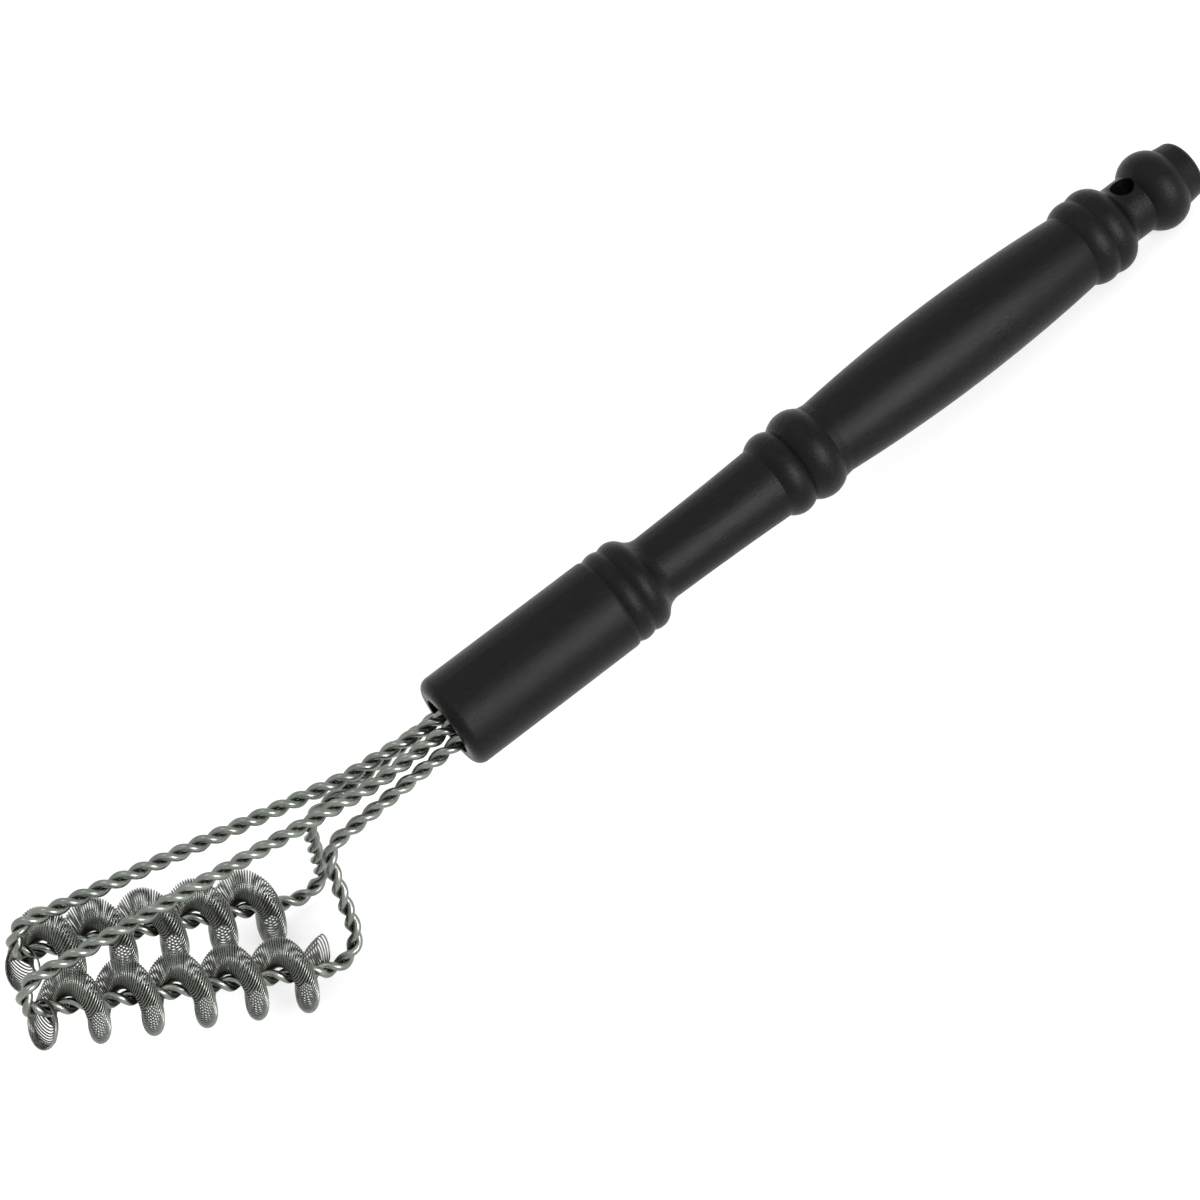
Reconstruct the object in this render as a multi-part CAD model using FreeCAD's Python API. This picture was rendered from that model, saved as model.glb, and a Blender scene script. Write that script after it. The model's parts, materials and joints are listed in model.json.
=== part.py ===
"""Grill cleaning brush: turned handle, two twisted-wire loops, two wound scrubbing springs.

Everything is laid out in a handle frame (X runs from the handle's front face to its
butt, Y to the back row, Z up), then tipped by rest_tilt so that the brush lies on its
springs and its butt ball, and moved so that the origin is the centre of the underside.
"""
import FreeCAD, Part
import os
import math

V = FreeCAD.Vector
os.makedirs("parts", exist_ok=True)

# ------------------------------------------------------------------ handle, millimetres
handle_len = 305.0
ferrule_r = 16.0
ferrule_end_x = 62.3
front_round = 3.7
ferrule_shoulder_x = 63.65
ferrule_shoulder_r = 15.8
ferrule_groove_x = 64.6
ferrule_groove_r = 15.3
ring_a_x = 67.6
ring_a_r = 16.1
ring_gap_x = 70.5
ring_gap_r = 15.3
ring_b_x = 73.5
ring_b_r = 16.0
ring_b_end_x = 77.6
ring_b_end_r = 13.9
cove_mid_x = 79.6
cove_mid_r = 12.15
shank_x = 83.5
shank_r = 11.3
shank_mid_x = 105.0
shank_mid_r = 11.75
shank_end_x = 128.0
shank_end_r = 12.6
collar_a_x = 132.8
collar_a_r = 14.7
collar_gap_x = 137.6
collar_gap_r = 13.2
collar_b_x = 143.6
collar_b_r = 15.7
collar_b_end_x = 149.6
collar_b_end_r = 13.5
grip_start_x = 152.7
grip_start_r = 13.05
grip_max_x = 206.0
grip_max_r = 15.4
grip_end_x = 256.2
grip_end_r = 13.1
butt_ring_a_x = 260.4
butt_ring_a_r = 15.0
butt_gap_x = 264.3
butt_gap_r = 14.4
butt_ring_b_x = 268.3
butt_ring_b_r = 15.2
butt_ring_b_end_x = 273.6
butt_ring_b_end_r = 12.0
neck_cove_x = 274.9
neck_cove_r = 10.8
neck_x = 277.0
neck_r = 10.3
neck_end_x = 284.0
ball_x = 290.4
ball_r = 14.0
ball_end_x = 297.7
ball_end_r = 10.9
knob_r = 10.3
butt_round = 2.6
hang_hole_x = 280.2
hang_hole_r = 4.0
socket_r = 10.0
socket_depth = 36.0
plug_recess = 2.0

# ------------------------------------------------------------------ twisted wire loops
strand_r = 1.25
strand_offset = 1.27
twist_pitch = 13.0
wire_r = strand_offset + strand_r
channel_gap = 0.05
wire_end_x = 32.0
stem_y = 2.72
stem_z = 1.63
stem_bend_radius = 70.0
socket_bend_radius = 25.0
leg_y = 7.0
leg_z = -1.1
knee_radius = 7.4
row_angle = 36.9
tip_x = -152.0
tip_z = 24.7
crook_radius = 9.2
hairpin_slack = 0.01

# One entry per loop. side: -1 for -Y, +1 for +Y. tip_slip moves the far end along the
# row, row_len is measured from there to the crook corner, crook_lift is square to it.
loops = {
    "front": {"side": -1, "stem_bend": (-29.5, 5.4, 4.4), "knee": (-52.9, 8.0, -2.6),
              "tip_y": 12.6, "tip_slip": 0.0, "crook_y": 18.1, "row_len": 112.9,
              "crook_lift": -1.2, "hairpin_gap": 10.4},
    "back": {"side": 1, "stem_bend": (-34.0, 4.2, 4.4), "knee": (-51.2, 6.6, -1.9),
             "tip_y": 14.0, "tip_slip": 8.0, "crook_y": 17.4, "row_len": 109.5,
             "crook_lift": 0.3, "hairpin_gap": 10.8},
}

# ------------------------------------------------------------------ scrubbing springs
# A spring is one fine wire wound in rings, and the string of rings is wound round the
# straight run of a loop. Each ring is an ellipse: ring_out square to the run, ring_side
# along it, and the ring leans over by ring_cant about the first of these.
spring_wire_r = 0.25
tube_wall = 0.7
whole_turns = 5
start_angle = 130.0
springs = {
    "front": {"coil_r": 7.5, "ring_out": 4.6, "ring_side": 4.5, "ring_cant": 48.7,
              "pitch": 17.0, "last_bottom": 93.1, "first_turn_stretch": 0.6,
              "tail": 112.0, "tail_stretch": 2.4},
    "back": {"coil_r": 7.95, "ring_out": 5.05, "ring_side": 4.6, "ring_cant": 42.2,
             "pitch": 17.25, "last_bottom": 89.5, "first_turn_stretch": -1.4,
             "tail": 54.0, "tail_stretch": 0.0},
}

# ------------------------------------------------------------------ resolution
twist_steps = 8
coil_steps = 16
face_spans = 12
circle_poles = 9
cubic = 3
tilt_limit = 0.3
halvings = 40


# ================================================================== helpers
def arc3(p, q, r):
    return Part.Arc(p, q, r).toShape()


def line(p, q):
    return Part.LineSegment(p, q).toShape()


def st(x, r):
    """A point of the turned profile: station x, radius r."""
    return V(x, 0, r)


def unit(v):
    w = V(v)
    w.normalize()
    return w


def turn(v, axis, ang):
    """Vector v turned by ang (radians) about a unit axis."""
    c = math.cos(ang)
    s = math.sin(ang)
    return v * c + axis.cross(v) * s + axis * (axis.dot(v) * (1 - c))


def round_corner(x, r, radius, rising):
    """Quarter round at an outer corner of the profile; rising goes from face to side."""
    k = radius * (1 - math.sqrt(0.5))
    if rising:
        return arc3(st(x, r - radius), st(x + k, r - k), st(x + radius, r))
    return arc3(st(x - radius, r), st(x - k, r - k), st(x, r - radius))


def path_stations(points, radii, step):
    """Straight runs joined by tangent arcs, as (point, tangent, side, length) stations."""
    out = []
    cur = points[0]
    side = V(0, 1, 0)
    d1 = unit(points[1] - points[0])
    side = unit(side - d1 * side.dot(d1))
    run = 0.0
    for i in range(1, len(points)):
        end = points[i]
        bend = 0.0
        if i < len(points) - 1:
            d2 = unit(points[i + 1] - points[i])
            bend = math.acos(max(-1.0, min(1.0, d1.dot(d2))))
            cut = radii[i] * math.tan(bend / 2)
            end = points[i] - d1 * cut
        length = (end - cur).Length
        n = max(1, int(round(length / step)))
        for k in range(n):
            out.append((cur + d1 * (length * k / n), d1, side, run + length * k / n))
        run += length
        cur = end
        if i < len(points) - 1:
            axis = unit(d1.cross(d2))
            centre = cur + axis.cross(d1) * radii[i]
            arm = cur - centre
            arc_len = radii[i] * bend
            m = max(3, int(round(arc_len / step)))
            for k in range(m):
                a = bend * k / m
                out.append((centre + turn(arm, axis, a), turn(d1, axis, a),
                            turn(side, axis, a), run + arc_len * k / m))
            run += arc_len
            cur = centre + turn(arm, axis, bend)
            side = turn(side, axis, bend)
            d1 = d2
    out.append((cur, d1, side, run))
    return out


def ring(centre, u, w):
    """Nine poles of a rational ellipse with semi-axis vectors u and w."""
    out = []
    for j in range(circle_poles):
        a = j * math.pi / 4
        reach = 1.0 if j % 2 == 0 else math.sqrt(2)
        out.append(centre + u * (math.cos(a) * reach) + w * (math.sin(a) * reach))
    out[-1] = V(out[0])
    return out


def round_ring(centre, tangent, side, radius):
    """Nine poles of a rational circle square to tangent."""
    u = unit(side - tangent * side.dot(tangent)) * radius
    return ring(centre, u, tangent.cross(u))


def tube_faces(rings):
    """A cubic surface along a list of rings, cut square into short faces."""
    n = len(rings)
    spans = n - cubic
    knots = [float(k) for k in range(spans + 1)]
    mults = [cubic + 1] + [1] * (spans - 1) + [cubic + 1]
    w = [1.0 if j % 2 == 0 else math.sqrt(0.5) for j in range(circle_poles)]
    surf = Part.BSplineSurface()
    surf.buildFromPolesMultsKnots(rings, mults, [3, 2, 2, 2, 3], knots,
                                  [0.0, 1.0, 2.0, 3.0, 4.0], False, False, cubic, 2,
                                  [w] * n)
    count = max(1, round(spans / face_spans))
    cuts = [round(spans * k / count) for k in range(count + 1)]
    faces = []
    for a, b in zip(cuts, cuts[1:]):
        piece = surf.copy()
        piece.segment(float(a), float(b), 0.0, 4.0)
        faces.append(piece.toShape())
    return faces


def end_wire(face, point):
    """The round edge of a tube face that passes through point."""
    rims = [e for e in face.Edges if e.isClosed()]
    return Part.Wire([min(rims, key=lambda e: (e.Vertexes[0].Point - point).Length)])


def tube_solid(rings, inner=None):
    faces = tube_faces(rings)
    wires = [end_wire(faces[0], rings[0][0]), end_wire(faces[-1], rings[-1][0])]
    if inner is None:
        faces += [Part.Face(w) for w in wires]
    else:
        core = tube_faces(inner)
        holes = [end_wire(core[0], inner[0][0]), end_wire(core[-1], inner[-1][0])]
        faces += core
        for w, h in zip(wires, holes):
            faces.append(Part.makeFace([w, h], "Part::FaceMakerBullseye"))
    shell = Part.makeShell(faces)
    shell.sewShape()
    solid = Part.makeSolid(shell)
    if solid.Volume < 0:
        solid.reverse()
    return solid


def centreline_tangents(pts):
    out = []
    for i in range(len(pts)):
        a = pts[max(0, i - 1)]
        b = pts[min(len(pts) - 1, i + 1)]
        out.append(unit(b - a))
    return out


# ================================================================== head layout
skins = []
along = V(math.cos(math.radians(row_angle)), 0, -math.sin(math.radians(row_angle)))
lift = V(math.sin(math.radians(row_angle)), 0, math.cos(math.radians(row_angle)))


def row_frame(row):
    """Tip point, unit direction to the near end and crook corner of one row."""
    tip = V(tip_x, row["side"] * row["tip_y"], tip_z) + along * row["tip_slip"]
    crook = (V(tip_x, row["side"] * row["crook_y"], tip_z)
             + along * (row["tip_slip"] + row["row_len"]) + lift * row["crook_lift"])
    return tip, unit(crook - tip), crook


def loop_points(row):
    side = row["side"]
    tip, _, crook = row_frame(row)
    bend_x, bend_y, bend_z = row["stem_bend"]
    knee_x, knee_y, knee_z = row["knee"]
    pts = [V(wire_end_x, side * stem_y, stem_z),
           V(0, side * stem_y, stem_z),
           V(bend_x, side * bend_y, bend_z),
           tip + lift * row["hairpin_gap"],
           tip,
           crook,
           V(knee_x, side * knee_y, knee_z),
           V(0, side * leg_y, leg_z),
           V(wire_end_x, side * leg_y, leg_z)]
    hairpin = row["hairpin_gap"] / 2 - hairpin_slack
    radii = [0, socket_bend_radius, stem_bend_radius, hairpin, hairpin,
             crook_radius, knee_radius, socket_bend_radius, 0]
    return pts, radii


def strand_rings(row, phase):
    """Rings of one strand: it winds round the loop's centreline at strand_offset."""
    pts, radii = loop_points(row)
    stations = path_stations(pts, radii, twist_pitch / twist_steps)
    shrink = (2 + math.cos(2 * math.pi / twist_steps)) / 3
    centres = []
    for p, t, side, run in stations:
        spoke = turn(side, t, phase + 2 * math.pi * run / twist_pitch)
        centres.append(p + spoke * (strand_offset / shrink))
        skins.append((p + spoke * strand_offset, side * strand_r, t.cross(side) * strand_r))
    tangents = centreline_tangents(centres)
    return [round_ring(c, t, s[2], strand_r) for c, t, s in zip(centres, tangents, stations)]


def coil_rings(row, spring, grow):
    """Rings of a spring tube wound round the straight run of a loop.

    Angles are counted from the top of the row, turning to -Y first; the spring touches
    bottom (half a turn) whole_turns + 1 times, last_bottom along the row for the last.
    grow is added to both half widths of every ring.
    """
    tip, d, _ = row_frame(row)
    up = unit(lift - d * lift.dot(d))
    across = d.cross(up)
    pitch = spring["pitch"]
    radius = spring["coil_r"]
    out = spring["ring_out"] + grow
    side = spring["ring_side"] + grow
    cant = math.radians(spring["ring_cant"])
    last = 180.0 + 360.0 * whole_turns
    end_angle = last + spring["tail"]
    shrink = (2 + math.cos(2 * math.pi / coil_steps)) / 3
    n = int(round((end_angle - start_angle) / 360 * coil_steps))
    rings = []
    for i in range(n + 1):
        turned = start_angle + (end_angle - start_angle) * i / n
        early = max(0.0, 1 - (turned - start_angle) / 360)
        late = max(0.0, 1 - (end_angle - turned) / spring["tail"])
        s = (spring["last_bottom"] + pitch * (turned - last) / 360
             - spring["first_turn_stretch"] * early * early
             + spring["tail_stretch"] * late * late)
        a = math.radians(turned)
        spoke = up * math.cos(a) + across * math.sin(a)
        tangent = unit(d.cross(spoke) * radius + d * (pitch / 2 / math.pi))
        binormal = spoke.cross(tangent)
        if binormal.dot(d) < 0:
            binormal = -binormal
        centre = tip + d * s + spoke * radius
        u = spoke * out
        w = (binormal * math.cos(cant) - tangent * math.sin(cant)) * side
        skins.append((centre, u, w))
        rings.append(ring(centre + spoke * (radius / shrink - radius), u * (1 / shrink), w))
    return rings


# ================================================================== the pieces
def make_handle():
    outline = [
        line(st(0, 0), st(0, ferrule_r - front_round)),
        round_corner(0, ferrule_r, front_round, True),
        line(st(front_round, ferrule_r), st(ferrule_end_x, ferrule_r)),
        arc3(st(ferrule_end_x, ferrule_r),
             st(ferrule_shoulder_x, ferrule_shoulder_r),
             st(ferrule_groove_x, ferrule_groove_r)),
        arc3(st(ferrule_groove_x, ferrule_groove_r), st(ring_a_x, ring_a_r),
             st(ring_gap_x, ring_gap_r)),
        arc3(st(ring_gap_x, ring_gap_r), st(ring_b_x, ring_b_r),
             st(ring_b_end_x, ring_b_end_r)),
        arc3(st(ring_b_end_x, ring_b_end_r), st(cove_mid_x, cove_mid_r),
             st(shank_x, shank_r)),
        arc3(st(shank_x, shank_r), st(shank_mid_x, shank_mid_r),
             st(shank_end_x, shank_end_r)),
        arc3(st(shank_end_x, shank_end_r), st(collar_a_x, collar_a_r),
             st(collar_gap_x, collar_gap_r)),
        arc3(st(collar_gap_x, collar_gap_r), st(collar_b_x, collar_b_r),
             st(collar_b_end_x, collar_b_end_r)),
        line(st(collar_b_end_x, collar_b_end_r), st(grip_start_x, grip_start_r)),
        arc3(st(grip_start_x, grip_start_r), st(grip_max_x, grip_max_r),
             st(grip_end_x, grip_end_r)),
        arc3(st(grip_end_x, grip_end_r), st(butt_ring_a_x, butt_ring_a_r),
             st(butt_gap_x, butt_gap_r)),
        arc3(st(butt_gap_x, butt_gap_r), st(butt_ring_b_x, butt_ring_b_r),
             st(butt_ring_b_end_x, butt_ring_b_end_r)),
        arc3(st(butt_ring_b_end_x, butt_ring_b_end_r), st(neck_cove_x, neck_cove_r),
             st(neck_x, neck_r)),
        line(st(neck_x, neck_r), st(neck_end_x, neck_r)),
        arc3(st(neck_end_x, neck_r), st(ball_x, ball_r), st(ball_end_x, ball_end_r)),
        line(st(ball_end_x, ball_end_r), st(handle_len - butt_round, knob_r)),
        round_corner(handle_len, knob_r, butt_round, False),
        line(st(handle_len, knob_r - butt_round), st(handle_len, 0)),
        line(st(handle_len, 0), st(0, 0)),
    ]
    blank = Part.Face(Part.Wire(outline)).revolve(V(0, 0, 0), V(1, 0, 0), 360)
    socket = Part.makeCylinder(socket_r, socket_depth, V(0, 0, 0), V(1, 0, 0))
    hang = Part.makeCylinder(hang_hole_r, 2 * ball_r, V(hang_hole_x, 0, -ball_r), V(0, 0, 1))
    return blank.cut(socket).cut(hang)


def make_plug():
    plug = Part.makeCylinder(socket_r, socket_depth - plug_recess, V(plug_recess, 0, 0),
                             V(1, 0, 0))
    for s in (1, -1):
        for y, z in ((stem_y, stem_z), (leg_y, leg_z)):
            plug = plug.cut(Part.makeCylinder(wire_r + channel_gap, wire_end_x, V(0, s * y, z),
                                              V(1, 0, 0)))
    return plug


nodes = {"handle": make_handle(), "socket_plug": make_plug()}
for name, row in loops.items():
    for phase, letter in ((0.0, "a"), (math.pi, "b")):
        nodes[name + "_loop_wire_" + letter] = tube_solid(strand_rings(row, phase))
    nodes[name + "_scrub_coil"] = tube_solid(
        coil_rings(row, springs[name], spring_wire_r),
        coil_rings(row, springs[name], spring_wire_r - tube_wall))


# ================================================================== rest pose
def head_low(ang):
    """Lowest head point below the butt ball's underside, both tipped by ang."""
    s = math.sin(ang)
    c = math.cos(ang)
    low = []
    for p, u, w in skins:
        drop = math.hypot(u.x * s + u.z * c, w.x * s + w.z * c)
        low.append(p.x * s + p.z * c - drop)
    return min(low) - (ball_x * s - ball_r)


lo = -tilt_limit
hi = tilt_limit
for _ in range(halvings):
    mid = (lo + hi) / 2
    if head_low(mid) < 0:
        hi = mid
    else:
        lo = mid
rest_tilt = math.degrees((lo + hi) / 2)

rest = FreeCAD.Rotation(V(0, 1, 0), -rest_tilt)
for shape in nodes.values():
    shape.Placement = FreeCAD.Placement(V(0, 0, 0), rest)
boxes = [s.optimalBoundingBox(False, False) for s in nodes.values()]
shift = V(-(min(b.XMin for b in boxes) + max(b.XMax for b in boxes)) / 2,
          -(min(b.YMin for b in boxes) + max(b.YMax for b in boxes)) / 2,
          -min(b.ZMin for b in boxes))
for name, shape in nodes.items():
    shape.Placement = FreeCAD.Placement(shift, rest)
    shape.exportStep("parts/" + name + ".step")
    b = shape.optimalBoundingBox(False, False)
    print("%-18s valid %s solids %d volume %.1f  x %.2f..%.2f y %.2f..%.2f z %.2f..%.2f" % (
        name, shape.isValid(), len(shape.Solids), shape.Volume,
        b.XMin, b.XMax, b.YMin, b.YMax, b.ZMin, b.ZMax))
print("rest_tilt %.4f shift %.4f %.4f %.4f" % (rest_tilt, shift.x, shift.y, shift.z))
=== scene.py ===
"""Looks of the grill cleaning brush: black turned handle, twisted-wire loops, wound springs.

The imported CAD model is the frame. The handle and the socket plug keep their CAD shapes.
The four strands and the two springs are wound here wire by wire, on the same centrelines
as their CAD solids, and stand for them.
"""
import json
import math
import bpy
import numpy as np
from mathutils import Matrix, Vector, noise


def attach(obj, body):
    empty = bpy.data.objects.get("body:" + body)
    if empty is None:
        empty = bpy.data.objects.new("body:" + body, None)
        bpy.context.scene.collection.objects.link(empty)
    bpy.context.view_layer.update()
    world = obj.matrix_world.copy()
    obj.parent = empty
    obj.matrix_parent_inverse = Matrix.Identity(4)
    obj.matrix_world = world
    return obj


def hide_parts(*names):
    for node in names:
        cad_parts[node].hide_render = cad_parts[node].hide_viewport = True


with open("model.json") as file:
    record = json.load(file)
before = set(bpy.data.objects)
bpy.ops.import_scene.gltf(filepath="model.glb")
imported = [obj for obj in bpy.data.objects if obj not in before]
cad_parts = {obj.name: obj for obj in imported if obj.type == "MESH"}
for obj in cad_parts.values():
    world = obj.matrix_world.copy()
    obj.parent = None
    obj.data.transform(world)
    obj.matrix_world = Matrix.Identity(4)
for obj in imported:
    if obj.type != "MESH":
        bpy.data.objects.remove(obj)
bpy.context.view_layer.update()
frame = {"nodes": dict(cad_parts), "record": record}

MM = 0.001

# ------------------------------------------------------------------ dimensions, as in the CAD
HANG_HOLE_X = 280.2 * MM
STRAND_R = 1.25 * MM
STRAND_OFFSET = 1.27 * MM
TWIST_PITCH = 13.0 * MM
WIRE_END_X = 32.0 * MM
STEM_Y = 2.72 * MM
STEM_Z = 1.63 * MM
STEM_BEND_RADIUS = 70.0 * MM
SOCKET_BEND_RADIUS = 25.0 * MM
LEG_Y = 7.0 * MM
LEG_Z = -1.1 * MM
KNEE_RADIUS = 7.4 * MM
ROW_ANGLE = math.radians(36.9)
TIP_X = -152.0 * MM
TIP_Z = 24.7 * MM
CROOK_RADIUS = 9.2 * MM
HAIRPIN_SLACK = 0.01 * MM
WHOLE_TURNS = 5
START_ANGLE = 130.0

# One entry per loop and its spring, lengths in millimetres, angles in degrees.
ROWS = {
    "front": {"side": -1, "stem_bend": (-29.5, 5.4, 4.4), "knee": (-52.9, 8.0, -2.6),
              "tip_y": 12.6, "tip_slip": 0.0, "crook_y": 18.1, "row_len": 112.9,
              "crook_lift": -1.2, "hairpin_gap": 10.4,
              "coil_r": 7.5, "ring_out": 4.6, "ring_side": 4.5, "ring_cant": 48.7,
              "pitch": 17.0, "last_bottom": 93.1, "first_turn_stretch": 0.6,
              "tail": 112.0, "tail_stretch": 2.4},
    "back": {"side": 1, "stem_bend": (-34.0, 4.2, 4.4), "knee": (-51.2, 6.6, -1.9),
             "tip_y": 14.0, "tip_slip": 8.0, "crook_y": 17.4, "row_len": 109.5,
             "crook_lift": 0.3, "hairpin_gap": 10.8,
             "coil_r": 7.95, "ring_out": 5.05, "ring_side": 4.6, "ring_cant": 42.2,
             "pitch": 17.25, "last_bottom": 89.5, "first_turn_stretch": -1.4,
             "tail": 54.0, "tail_stretch": 0.0},
}

# ------------------------------------------------------------------ what only the looks need
SPRING_WIRE_R = 0.25 * MM
RING_SPACING = 0.84 * MM
RING_STEPS = 24
MOUTH_RINGS = 8
MOUTH_REACH = 11.6 * MM
MOUTH_PAST_WIRE = 2.85 * MM
MOUTH_SIDE = 6.0 * MM
MOUTH_ARC = 130.0
RING_UNEVEN = 0.010
SLOW_DRIFT = 0.32
QUICK_DRIFT = 0.09
TUCK_SHADE_FALLOFF = 1.5
SPRING_SIDES = 6
STRAND_STEP = 0.65 * MM
STRAND_SIDES = 18

# ------------------------------------------------------------------ camera and stage
CAM_AIM = (-10.83 * MM, 16.16 * MM, 20.0 * MM)
CAM_DISTANCE = 923.64 * MM
CAM_AZIMUTH = 10.32
CAM_ELEVATION = 45.06
CAM_ROLL = -33.22
CAM_LENS = 86.7
FLOOR_SIZE = 6.0
FLOOR_GLOW = 0.55
LIGHT_DISTANCE = 1.6
OVERHEAD_AIM = (0.05, 0.0, 0.03)
OVERHEAD_SIZE = (0.5, 0.4)
OVERHEAD_POWER = 2.5
FRONT_AIM = (0.0, 0.0, 0.03)
FRONT_SIZE = (0.7, 0.6)
FRONT_POWER = 30
WORLD_STRENGTH = 1.05


# ================================================================== the handle's own frame
mount = frame["record"]["mounts"][0]
AXIS_Z = Vector(mount["axis"]).normalized()
AXIS_Y = Vector((0, 1, 0))
AXIS_X = AXIS_Y.cross(AXIS_Z).normalized()
ORIGIN = Vector(mount["pos_m"]) - AXIS_X * HANG_HOLE_X
TO_ROW = np.array([AXIS_X, AXIS_Y, AXIS_Z])


def to_row(points):
    """Handle-frame points (n, 3) into the row frame."""
    return np.asarray(points) @ TO_ROW + np.array(ORIGIN)


# ================================================================== small tools
def unit(v):
    v = np.asarray(v, float)
    return v / np.linalg.norm(v, axis=-1, keepdims=True)


def turn(v, axis, angle):
    c = math.cos(angle)
    s = math.sin(angle)
    return v * c + np.cross(axis, v) * s + axis * (np.dot(axis, v) * (1 - c))


def wobble(x, scale, seed):
    """Smooth seeded noise along a length, about -1 to 1."""
    return np.array([noise.noise(Vector((v * scale, seed, 0.37))) for v in x])


def tube_mesh(name, centres, across, sides, radius, shade):
    """A closed round tube of any length along centres; across is its side direction.

    shade holds one value for each point of the tube's surface, 0 open to 1 facing into a hollow;
    it is the amount of painted shade.
    """
    n = len(centres)
    tangents = unit(np.gradient(centres, axis=0))
    e1 = unit(across - tangents * np.sum(across * tangents, axis=1, keepdims=True))
    e2 = np.cross(tangents, e1)
    ang = np.linspace(0, 2 * math.pi, sides, endpoint=False)
    rings = (centres[:, None, :] + radius * (e1[:, None, :] * np.cos(ang)[None, :, None]
                                             + e2[:, None, :] * np.sin(ang)[None, :, None]))
    verts = np.concatenate([rings.reshape(-1, 3), centres[:1], centres[-1:]])
    i = np.arange(n - 1)[:, None] * sides
    j = np.arange(sides)[None, :]
    k = (j + 1) % sides
    quads = np.stack([i + j, i + k, i + sides + k, i + sides + j], -1).reshape(-1, 4)
    faces = quads.tolist()
    first = n * sides
    for a in range(sides):
        b = (a + 1) % sides
        faces.append([first, b, a])
        faces.append([first + 1, first - sides + a, first - sides + b])
    mesh = bpy.data.meshes.new(name)
    mesh.from_pydata(verts.tolist(), [], faces)
    mesh.update()
    mesh.polygons.foreach_set("use_smooth", [True] * len(mesh.polygons))
    # Stores the painted-shade amount on every point, for the steel materials to darken with.
    tone = mesh.attributes.new("painted_tuck_shade", "FLOAT", "POINT")
    values = np.concatenate([shade(rings).reshape(-1), [0.5, 0.5]])
    tone.data.foreach_set("value", values.astype(np.float32))
    obj = bpy.data.objects.new(name, mesh)
    bpy.context.scene.collection.objects.link(obj)
    return obj


# ================================================================== loop centrelines
def row_frame(row):
    """Tip, unit direction to the near end, unit lift and crook corner of one row."""
    along = np.array([math.cos(ROW_ANGLE), 0, -math.sin(ROW_ANGLE)])
    lift = np.array([math.sin(ROW_ANGLE), 0, math.cos(ROW_ANGLE)])
    tip = (np.array([TIP_X, row["side"] * row["tip_y"] * MM, TIP_Z])
           + along * row["tip_slip"] * MM)
    crook = (np.array([TIP_X, row["side"] * row["crook_y"] * MM, TIP_Z])
             + along * (row["tip_slip"] + row["row_len"]) * MM
             + lift * row["crook_lift"] * MM)
    return tip, unit(crook - tip), lift, crook


def loop_corners(row):
    side = row["side"]
    tip, _, lift, crook = row_frame(row)
    bend_x, bend_y, bend_z = (v * MM for v in row["stem_bend"])
    knee_x, knee_y, knee_z = (v * MM for v in row["knee"])
    points = [(WIRE_END_X, side * STEM_Y, STEM_Z),
              (0, side * STEM_Y, STEM_Z),
              (bend_x, side * bend_y, bend_z),
              tip + lift * row["hairpin_gap"] * MM,
              tip,
              crook,
              (knee_x, side * knee_y, knee_z),
              (0, side * LEG_Y, LEG_Z),
              (WIRE_END_X, side * LEG_Y, LEG_Z)]
    hairpin = row["hairpin_gap"] * MM / 2 - HAIRPIN_SLACK
    radii = [0, SOCKET_BEND_RADIUS, STEM_BEND_RADIUS, hairpin, hairpin,
             CROOK_RADIUS, KNEE_RADIUS, SOCKET_BEND_RADIUS, 0]
    return [np.array(p, float) for p in points], radii


def loop_path(row):
    """Points, side directions and run length along a loop's centreline, in the handle frame."""
    corners, radii = loop_corners(row)
    points = []
    sides = []
    runs = []
    cur = corners[0]
    d1 = unit(corners[1] - corners[0])
    side = np.array([0.0, 1.0, 0.0])
    side = unit(side - d1 * np.dot(side, d1))
    run = 0.0
    for i in range(1, len(corners)):
        end = corners[i]
        last = i == len(corners) - 1
        if not last:
            d2 = unit(corners[i + 1] - corners[i])
            bend = math.acos(max(-1.0, min(1.0, float(np.dot(d1, d2)))))
            end = corners[i] - d1 * (radii[i] * math.tan(bend / 2))
        length = float(np.linalg.norm(end - cur))
        n = max(1, int(round(length / STRAND_STEP)))
        for k in range(n):
            points.append(cur + d1 * (length * k / n))
            sides.append(side)
            runs.append(run + length * k / n)
        run += length
        cur = end
        if last:
            break
        axis = unit(np.cross(d1, d2))
        centre = cur + np.cross(axis, d1) * radii[i]
        arm = cur - centre
        m = max(3, int(round(radii[i] * bend / STRAND_STEP)))
        for k in range(m):
            a = bend * k / m
            points.append(centre + turn(arm, axis, a))
            sides.append(turn(side, axis, a))
            runs.append(run + radii[i] * a)
        run += radii[i] * bend
        cur = centre + turn(arm, axis, bend)
        side = turn(side, axis, bend)
        d1 = d2
    points.append(cur)
    sides.append(side)
    runs.append(run)
    return np.array(points), np.array(sides), np.array(runs)


# ================================================================== strands
def make_strand(name, row, phase):
    points, sides, runs = loop_path(row)
    tangents = unit(np.gradient(points, axis=0))
    ups = np.cross(tangents, sides)
    lay = phase + 2 * math.pi * runs / TWIST_PITCH
    spoke = sides * np.cos(lay)[:, None] + ups * np.sin(lay)[:, None]
    centres = to_row(points + spoke * STRAND_OFFSET)
    inward = -(spoke @ TO_ROW)

    # Painted shade: the side of each strand that faces the other strand gets a value up to 1 and
    # is darkened.
    def painted_tuck_shade(rings):
        out = unit(rings - centres[:, None, :])
        facing = np.sum(out * inward[:, None, :], axis=2)
        return np.clip(facing, 0, 1) ** TUCK_SHADE_FALLOFF

    obj = tube_mesh(name + "_drawn", centres, sides @ TO_ROW, STRAND_SIDES, STRAND_R, painted_tuck_shade)
    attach(obj, "root")
    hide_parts(name)
    return obj


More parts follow.
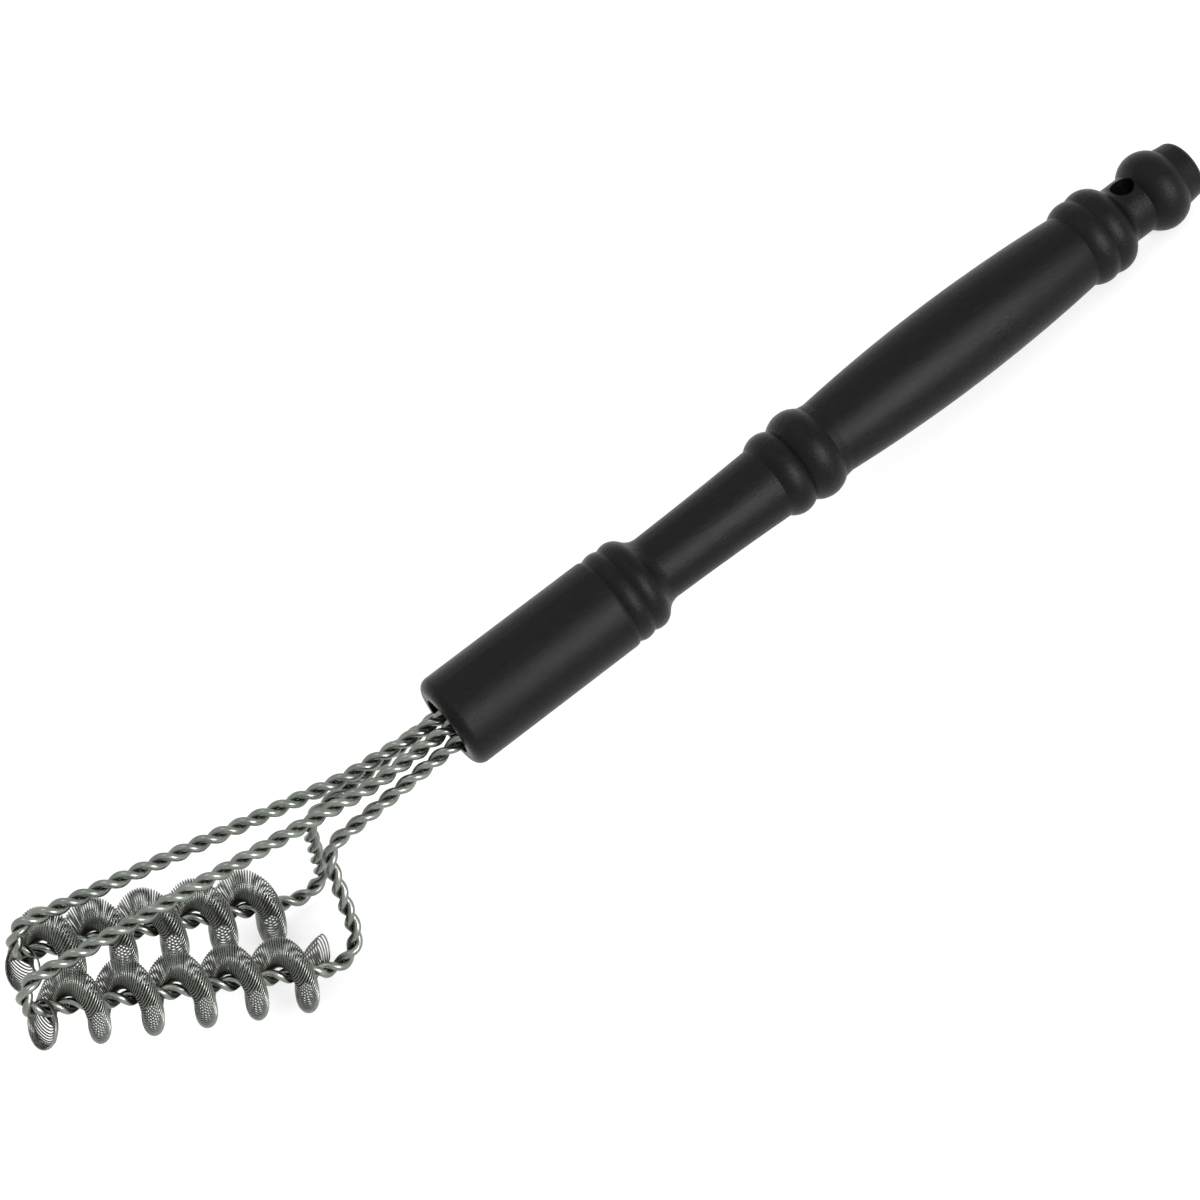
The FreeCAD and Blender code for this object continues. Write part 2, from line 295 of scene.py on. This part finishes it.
# ================================================================== springs
def make_spring(name, row, seed):
    """One fine wire wound in rings about the helix that the CAD tube follows.

    Every ring is an ellipse that leans over by ring_cant. The first MOUTH_RINGS reach
    past the wire of the loop, so they pass round it; the rest lie against it.
    """
    tip, d, lift, _ = row_frame(row)
    up = unit(lift - d * np.dot(lift, d))
    side = np.cross(d, up)
    pitch = row["pitch"] * MM
    coil_r = row["coil_r"] * MM
    ring_out = row["ring_out"] * MM
    ring_side = row["ring_side"] * MM
    cant = math.radians(row["ring_cant"])
    last = 180.0 + 360.0 * WHOLE_TURNS
    end_angle = last + row["tail"]
    turn_len = math.hypot(2 * math.pi * coil_r, pitch)
    rings = int(round(turn_len * (end_angle - START_ANGLE) / 360 / RING_SPACING))
    u = np.linspace(0, 1, rings * RING_STEPS + 1)
    turned = START_ANGLE + (end_angle - START_ANGLE) * u
    early = np.clip(1 - (turned - START_ANGLE) / 360, 0, None)
    late = np.clip((turned - last) / row["tail"], 0, 1)
    s = (row["last_bottom"] * MM + pitch * (turned - last) / 360
         - row["first_turn_stretch"] * MM * early ** 2
         + row["tail_stretch"] * MM * late ** 2)
    a = np.radians(turned)
    spoke = up[None, :] * np.cos(a)[:, None] + side[None, :] * np.sin(a)[:, None]
    path = tip + d * s[:, None] + spoke * coil_r
    tangents = unit(np.gradient(path, axis=0))
    outward = unit(spoke - tangents * np.sum(spoke * tangents, axis=1, keepdims=True))
    other = np.cross(outward, tangents)
    other = other * np.sign(other @ d)[:, None]
    lean = other * math.cos(cant) - tangents * math.sin(cant)

    settled = np.clip((turned - START_ANGLE) / MOUTH_ARC, 0, 1)
    settled = settled * settled * (3 - 2 * settled)
    count = np.floor(u * rings + 1e-9)
    uneven = 1 + RING_UNEVEN * wobble(count, 0.9, seed + 9.0)
    far = MOUTH_REACH * (1 - settled) + (coil_r + ring_out * uneven) * settled
    near = np.where(count < MOUTH_RINGS, -MOUTH_PAST_WIRE, coil_r - ring_out)
    wide = (MOUTH_SIDE * (1 - settled) + ring_side * settled) * uneven
    drift = (wobble(u * rings, 0.11, seed) * SLOW_DRIFT
             + wobble(u * rings, 0.45, seed + 5.0) * QUICK_DRIFT)
    phi = 2 * math.pi * u * rings
    centre = tip + d * (s + drift * RING_SPACING)[:, None] + outward * ((far + near) / 2)[:, None]
    arm = (outward * (np.cos(phi) * (far - near) / 2)[:, None]
           + lean * (np.sin(phi) * wide)[:, None])
    wire = to_row(centre + arm)
    core = to_row(tip + d * s[:, None])

    # Painted shade: the inner part of each ring, near the core of the coil, gets a value up to 1
    # and is darkened.
    def painted_tuck_shade(skin):
        away = np.linalg.norm(skin - core[:, None, :], axis=2)
        inner = coil_r - ring_out
        outer = coil_r + ring_out
        return np.clip(1 - (away - inner) / (outer - inner), 0, 1)

    obj = tube_mesh(name + "_wound", wire, tangents @ TO_ROW, SPRING_SIDES, SPRING_WIRE_R, painted_tuck_shade)
    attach(obj, "root")
    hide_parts(name)
    return obj


# ================================================================== materials
class Nodes:
    """Short calls for building one material."""

    def __init__(self, name):
        self.mat = bpy.data.materials.new(name)
        self.mat.use_nodes = True
        self.tree = self.mat.node_tree
        self.tree.nodes.clear()
        self.out = self.add("ShaderNodeOutputMaterial")
        self.bsdf = self.add("ShaderNodeBsdfPrincipled")
        self.join(self.bsdf.outputs["BSDF"], self.out.inputs["Surface"])
        self.coord = self.add("ShaderNodeTexCoord").outputs["Object"]

    def add(self, kind, **settings):
        node = self.tree.nodes.new(kind)
        for key, value in settings.items():
            setattr(node, key, value)
        return node

    def join(self, a, b):
        self.tree.links.new(a, b)

    def place(self, vector, scale=(1, 1, 1), turn_by=(0, 0, 0), shift=(0, 0, 0)):
        node = self.add("ShaderNodeMapping")
        node.inputs["Location"].default_value = shift
        node.inputs["Rotation"].default_value = turn_by
        node.inputs["Scale"].default_value = scale
        self.join(vector, node.inputs["Vector"])
        return node.outputs["Vector"]

    def noise(self, vector, scale, detail=4.0, rough=0.55):
        node = self.add("ShaderNodeTexNoise")
        node.inputs["Scale"].default_value = scale
        node.inputs["Detail"].default_value = detail
        node.inputs["Roughness"].default_value = rough
        self.join(vector, node.inputs["Vector"])
        return node.outputs["Fac"]

    def remap(self, value, a, b, c, d):
        node = self.add("ShaderNodeMapRange")
        node.inputs["From Min"].default_value = a
        node.inputs["From Max"].default_value = b
        node.inputs["To Min"].default_value = c
        node.inputs["To Max"].default_value = d
        self.join(value, node.inputs["Value"])
        return node.outputs["Result"]

    def math(self, op, a, b=None, clamp=False):
        node = self.add("ShaderNodeMath", operation=op, use_clamp=clamp)
        for k, v in enumerate((a, b)):
            if v is None:
                continue
            if isinstance(v, (int, float)):
                node.inputs[k].default_value = v
            else:
                self.join(v, node.inputs[k])
        return node.outputs["Value"]

    def mix(self, fac, a, b):
        node = self.add("ShaderNodeMix", data_type="RGBA")
        self.join(fac, node.inputs["Factor"])
        for key, v in ((6, a), (7, b)):
            if isinstance(v, tuple):
                node.inputs[key].default_value = (*v, 1.0)
            else:
                self.join(v, node.inputs[key])
        return node.outputs[2]

    def bump(self, height, distance, strength=1.0, before=None):
        node = self.add("ShaderNodeBump")
        node.inputs["Strength"].default_value = strength
        node.inputs["Distance"].default_value = distance
        self.join(height, node.inputs["Height"])
        if before is not None:
            self.join(before, node.inputs["Normal"])
        return node.outputs["Normal"]


def handle_material():
    """Satin black lacquer over turned wood: filled grain, pits and turning rings."""
    m = Nodes("black_lacquered_wood")
    tilt = math.atan2(AXIS_X.z, AXIS_X.x)
    local = m.place(m.coord, turn_by=(0, tilt, 0))
    grain = m.noise(m.place(local, scale=(1, 5, 5)), 260, 6.0, 0.6)
    pits = m.noise(m.place(local, scale=(1, 2.2, 2.2)), 1500, 3.0, 0.6)
    rings = m.noise(m.place(local, scale=(1, 0.02, 0.02)), 900, 3.0, 0.5)
    patches = m.noise(local, 38, 3.0, 0.5)
    m.join(m.mix(m.remap(grain, 0.35, 0.75, 0, 1), (0.0018, 0.0018, 0.0020),
                 (0.0040, 0.0038, 0.0035)), m.bsdf.inputs["Base Color"])
    rough = m.math("ADD", m.remap(grain, 0.3, 0.7, 0.27, 0.35),
                   m.remap(patches, 0.3, 0.7, -0.03, 0.06))
    m.join(rough, m.bsdf.inputs["Roughness"])
    m.bsdf.inputs["Specular IOR Level"].default_value = 0.11
    first = m.bump(rings, 0.00010, 0.35)
    second = m.bump(grain, 0.00025, 0.45, first)
    third = m.bump(pits, 0.00022, 0.6, second)
    m.join(third, m.bsdf.inputs["Normal"])
    return m.mat


def steel_material(name, bright, dull, painted_shade_colour, rough_lo, rough_hi, streak):
    """Drawn steel wire, bright and dull in clouds, with painted shade in a dark brownish colour
    where it faces into a hollow.
    """
    m = Nodes(name)
    painted_tuck_shade = m.add("ShaderNodeAttribute", attribute_name="painted_tuck_shade").outputs["Fac"]
    cloud = m.noise(m.coord, 120, 4.0, 0.6)
    fine = m.noise(m.coord, streak, 3.0, 0.6)
    skin = m.mix(m.remap(cloud, 0.35, 0.68, 0, 1), bright, dull)
    # Painted shade: the colour goes over to the dark brownish shade colour where the wire faces
    # into a hollow.
    m.join(m.mix(m.remap(painted_tuck_shade, 0.35, 1.0, 0, 1), skin, painted_shade_colour), m.bsdf.inputs["Base Color"])
    m.bsdf.inputs["Metallic"].default_value = 1.0
    rough = m.math("ADD", m.remap(fine, 0.3, 0.7, rough_lo, rough_hi),
                   m.remap(painted_tuck_shade, 0.3, 1.0, 0.0, 0.12))
    m.join(rough, m.bsdf.inputs["Roughness"])
    m.join(m.bump(fine, 0.00003, 0.5), m.bsdf.inputs["Normal"])
    return m.mat


def adhesive_material():
    m = Nodes("dark_adhesive")
    lumps = m.noise(m.coord, 420, 4.0, 0.6)
    m.join(m.mix(lumps, (0.012, 0.011, 0.010), (0.035, 0.030, 0.026)),
           m.bsdf.inputs["Base Color"])
    m.bsdf.inputs["Roughness"].default_value = 0.6
    m.join(m.bump(lumps, 0.0006, 0.8), m.bsdf.inputs["Normal"])
    return m.mat


def floor_material():
    m = Nodes("pale_floor")
    tone = m.noise(m.coord, 3.0, 2.0, 0.5)
    m.join(m.mix(tone, (0.49, 0.49, 0.49), (0.51, 0.51, 0.51)), m.bsdf.inputs["Base Color"])
    m.bsdf.inputs["Emission Color"].default_value = (1.0, 1.0, 1.0, 1)
    m.bsdf.inputs["Emission Strength"].default_value = FLOOR_GLOW
    m.bsdf.inputs["Roughness"].default_value = 0.9
    m.bsdf.inputs["Specular IOR Level"].default_value = 0.1
    return m.mat


def dress(obj, mat):
    obj.data.materials.clear()
    obj.data.materials.append(mat)


# ================================================================== stage
def make_floor():
    mesh = bpy.data.meshes.new("floor")
    h = FLOOR_SIZE / 2
    mesh.from_pydata([(-h, -h, 0), (h, -h, 0), (h, h, 0), (-h, h, 0)], [], [(0, 1, 2, 3)])
    floor = bpy.data.objects.new("floor", mesh)
    bpy.context.scene.collection.objects.link(floor)
    dress(floor, floor_material())


def make_camera():
    az = math.radians(CAM_AZIMUTH)
    el = math.radians(CAM_ELEVATION)
    ahead = Vector((math.sin(az) * math.cos(el), math.cos(az) * math.cos(el), -math.sin(el)))
    right = ahead.cross(Vector((0, 0, 1))).normalized()
    up = right.cross(ahead)
    roll = math.radians(CAM_ROLL)
    side = right * math.cos(roll) + up * math.sin(roll)
    top = up * math.cos(roll) - right * math.sin(roll)
    data = bpy.data.cameras.new("camera")
    data.lens = CAM_LENS
    data.sensor_width = 36.0
    data.clip_start = 0.01
    data.clip_end = 50.0
    cam = bpy.data.objects.new("camera", data)
    turned = Matrix((side, top, -ahead)).transposed().to_4x4()
    turned.translation = Vector(CAM_AIM) - ahead * CAM_DISTANCE
    cam.matrix_world = turned
    bpy.context.scene.collection.objects.link(cam)
    bpy.context.scene.camera = cam


def softbox(name, target, direction, size, power):
    """A rectangular area light LIGHT_DISTANCE from target along direction, facing it."""
    data = bpy.data.lights.new(name, "AREA")
    data.shape = "RECTANGLE"
    data.size, data.size_y = size
    data.energy = power
    light = bpy.data.objects.new(name, data)
    light.location = Vector(target) + direction.normalized() * LIGHT_DISTANCE
    light.rotation_mode = "QUATERNION"
    light.rotation_quaternion = (-direction).to_track_quat("-Z", "Y")
    bpy.context.scene.collection.objects.link(light)


def make_world():
    world = bpy.data.worlds.new("studio")
    world.use_nodes = True
    back = world.node_tree.nodes["Background"]
    back.inputs["Color"].default_value = (1.0, 1.0, 1.0, 1)
    back.inputs["Strength"].default_value = WORLD_STRENGTH
    bpy.context.scene.world = world


def sky_direction(azimuth, elevation):
    """Unit direction from the object toward a light; azimuth 0 is -Y, the camera's side."""
    az = math.radians(azimuth)
    el = math.radians(elevation)
    return Vector((-math.sin(az) * math.cos(el), -math.cos(az) * math.cos(el), math.sin(el)))


def make_lights():
    softbox("overhead", OVERHEAD_AIM, sky_direction(180, 87), OVERHEAD_SIZE, OVERHEAD_POWER)
    softbox("front", FRONT_AIM, sky_direction(-18, 20), FRONT_SIZE, FRONT_POWER)


# ================================================================== assembly
make_world()
make_floor()
make_camera()
make_lights()
bpy.context.scene.view_settings.view_transform = "Standard"

# The third colour given to each steel is the dark painted shade colour for hollows.
loop_steel = steel_material("loop_wire_steel", (0.225, 0.24, 0.215), (0.15, 0.165, 0.148),
                            (0.050, 0.044, 0.036), 0.24, 0.34, 700)
spring_steel = steel_material("spring_wire_steel", (0.235, 0.25, 0.225), (0.16, 0.175, 0.158),
                              (0.048, 0.042, 0.034), 0.24, 0.36, 1500)
dress(frame["nodes"]["handle"], handle_material())
dress(frame["nodes"]["socket_plug"], adhesive_material())
for seed, (which, row) in enumerate(ROWS.items()):
    for phase, letter in ((0.0, "a"), (math.pi, "b")):
        dress(make_strand(which + "_loop_wire_" + letter, row, phase), loop_steel)
    dress(make_spring(which + "_scrub_coil", row, 2.0 * seed + 1.0), spring_steel)
